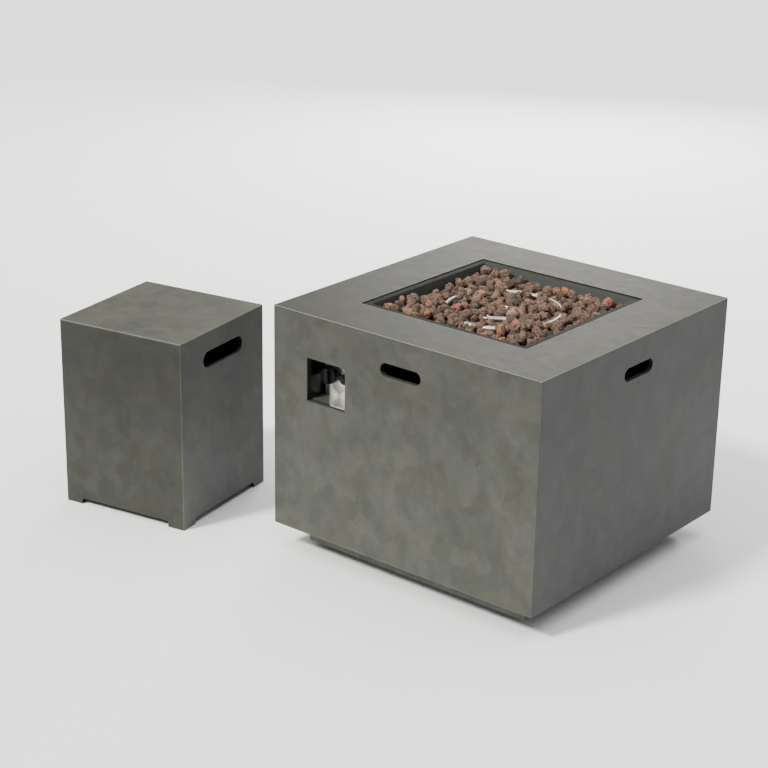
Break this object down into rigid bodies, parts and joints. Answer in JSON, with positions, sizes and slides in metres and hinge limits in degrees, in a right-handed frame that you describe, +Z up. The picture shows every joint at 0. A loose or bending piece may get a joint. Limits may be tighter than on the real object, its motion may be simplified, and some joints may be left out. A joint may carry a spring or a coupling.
{
  "type": "gas fire pit",
  "caption": "Square gas fire pit in a cast-stone look with a lava rock bowl over a ring burner, hand slots and a control recess, and a matching box that covers the gas bottle.",
  "frame": {"origin": "on the floor under the middle of the fire pit's square", "axes": "+Z up, -Y out of the face with the controls, +X to the right of that face; the bottle cover stands towards -X and -Y"},
  "size_m": [1.4328, 0.9358, 0.63],
  "materials": {
    "cast_stone": "cast grey-green concrete look, cloudy, matt",
    "lava_rock": "rough porous brown-red lava rock",
    "dark_paint": "charcoal high-temperature paint",
    "frame_paint": "black powder coat",
    "stainless": "brushed",
    "zinc": "zinc plated",
    "brass": "turned",
    "valve_metal": "die cast",
    "pipe_metal": "drawn tube",
    "black_plastic": "moulded, fine grain",
    "foot_rubber": "moulded",
    "white_ceramic": "unglazed",
    "spring_steel": "bright wire",
    "lead_black": "sleeved lead",
    "copper_tube": "copper capillary",
    "cell_wrap": "plain wrapped cell"
  },
  "bodies": {
    "fire_pit": {"pit_shell": "cast_stone", "plinth": "cast_stone", "base_frame": "frame_paint", "shell_screws": "zinc", "plinth_screws": "zinc", "foot_inserts": "zinc", "foot_lock_nuts": "zinc", "burner_pan": "dark_paint", "ring_burner": "stainless", "burner_nipple": "zinc", "burner_lock_nuts": "zinc", "burner_posts": "stainless", "burner_post_screws": "zinc", "pilot_bracket": "stainless", "pilot_screw": "zinc", "pilot_shield": "stainless", "spark_electrode": "white_ceramic", "thermocouple": "copper_tube", "igniter_lead": "lead_black", "air_mixer": "brass", "gas_jet": "brass", "feed_pipe": "pipe_metal", "feed_pipe_nuts": "brass", "control_box": "stainless", "control_box_screws": "zinc", "valve_body": "valve_metal", "stem_spring": "spring_steel", "valve_screws": "zinc", "gas_inlet_fitting": "brass", "igniter_body": "black_plastic", "igniter_nut": "black_plastic", "igniter_battery": "cell_wrap", "battery_spring": "spring_steel", "lava_rock_bed": "lava_rock"},
    "valve_plug": {"valve_plug": "brass"},
    "knob": {"control_knob": "black_plastic", "valve_stem": "zinc"},
    "igniter_cap": {"igniter_cap": "black_plastic", "button_spring": "spring_steel"},
    "igniter_button": {"igniter_button": "black_plastic"},
    "tank_cover": {"tank_cover": "cast_stone"},
    "foot_1": {"foot_pad_1": "foot_rubber", "foot_stud_1": "zinc"},
    "foot_2": {"foot_pad_2": "foot_rubber", "foot_stud_2": "zinc"},
    "foot_3": {"foot_pad_3": "foot_rubber", "foot_stud_3": "zinc"},
    "foot_4": {"foot_pad_4": "foot_rubber", "foot_stud_4": "zinc"}
  },
  "joints": [
    {"name": "knob_turn", "type": "hinge", "parent": "fire_pit", "child": "valve_plug", "pos_m": [-0.246, -0.293, 0.477], "axis": [0, -1, 0], "range_deg": [0, 220]},
    {"name": "knob_push", "type": "slide", "parent": "valve_plug", "child": "knob", "axis": [0, 1, 0], "range_m": [0, 0.003], "stiffness_N_per_m": 2000, "springref_m": -0.002, "deforming": ["stem_spring"]},
    {"name": "igniter_cap_off", "type": "slide", "parent": "fire_pit", "child": "igniter_cap", "axis": [0, -1, 0], "range_m": [0, 0.065]},
    {"name": "igniter_push", "type": "slide", "parent": "igniter_cap", "child": "igniter_button", "axis": [0, 1, 0], "range_m": [0, 0.003], "stiffness_N_per_m": 800, "springref_m": -0.002, "deforming": ["button_spring"]},
    {"name": "foot_1_turn", "type": "hinge", "parent": "fire_pit", "child": "foot_1", "pos_m": [-0.292, -0.292, 0], "axis": [0, 0, 1], "continuous": true},
    {"name": "foot_2_turn", "type": "hinge", "parent": "fire_pit", "child": "foot_2", "pos_m": [0.292, -0.292, 0], "axis": [0, 0, 1], "continuous": true},
    {"name": "foot_3_turn", "type": "hinge", "parent": "fire_pit", "child": "foot_3", "pos_m": [0.292, 0.292, 0], "axis": [0, 0, 1], "continuous": true},
    {"name": "foot_4_turn", "type": "hinge", "parent": "fire_pit", "child": "foot_4", "pos_m": [-0.292, 0.292, 0], "axis": [0, 0, 1], "continuous": true},
    {"name": "tank_cover_lift", "type": "slide", "parent": "fire_pit", "child": "tank_cover", "axis": [0, 0, 1], "range_m": [0, 0.5]}
  ]
}
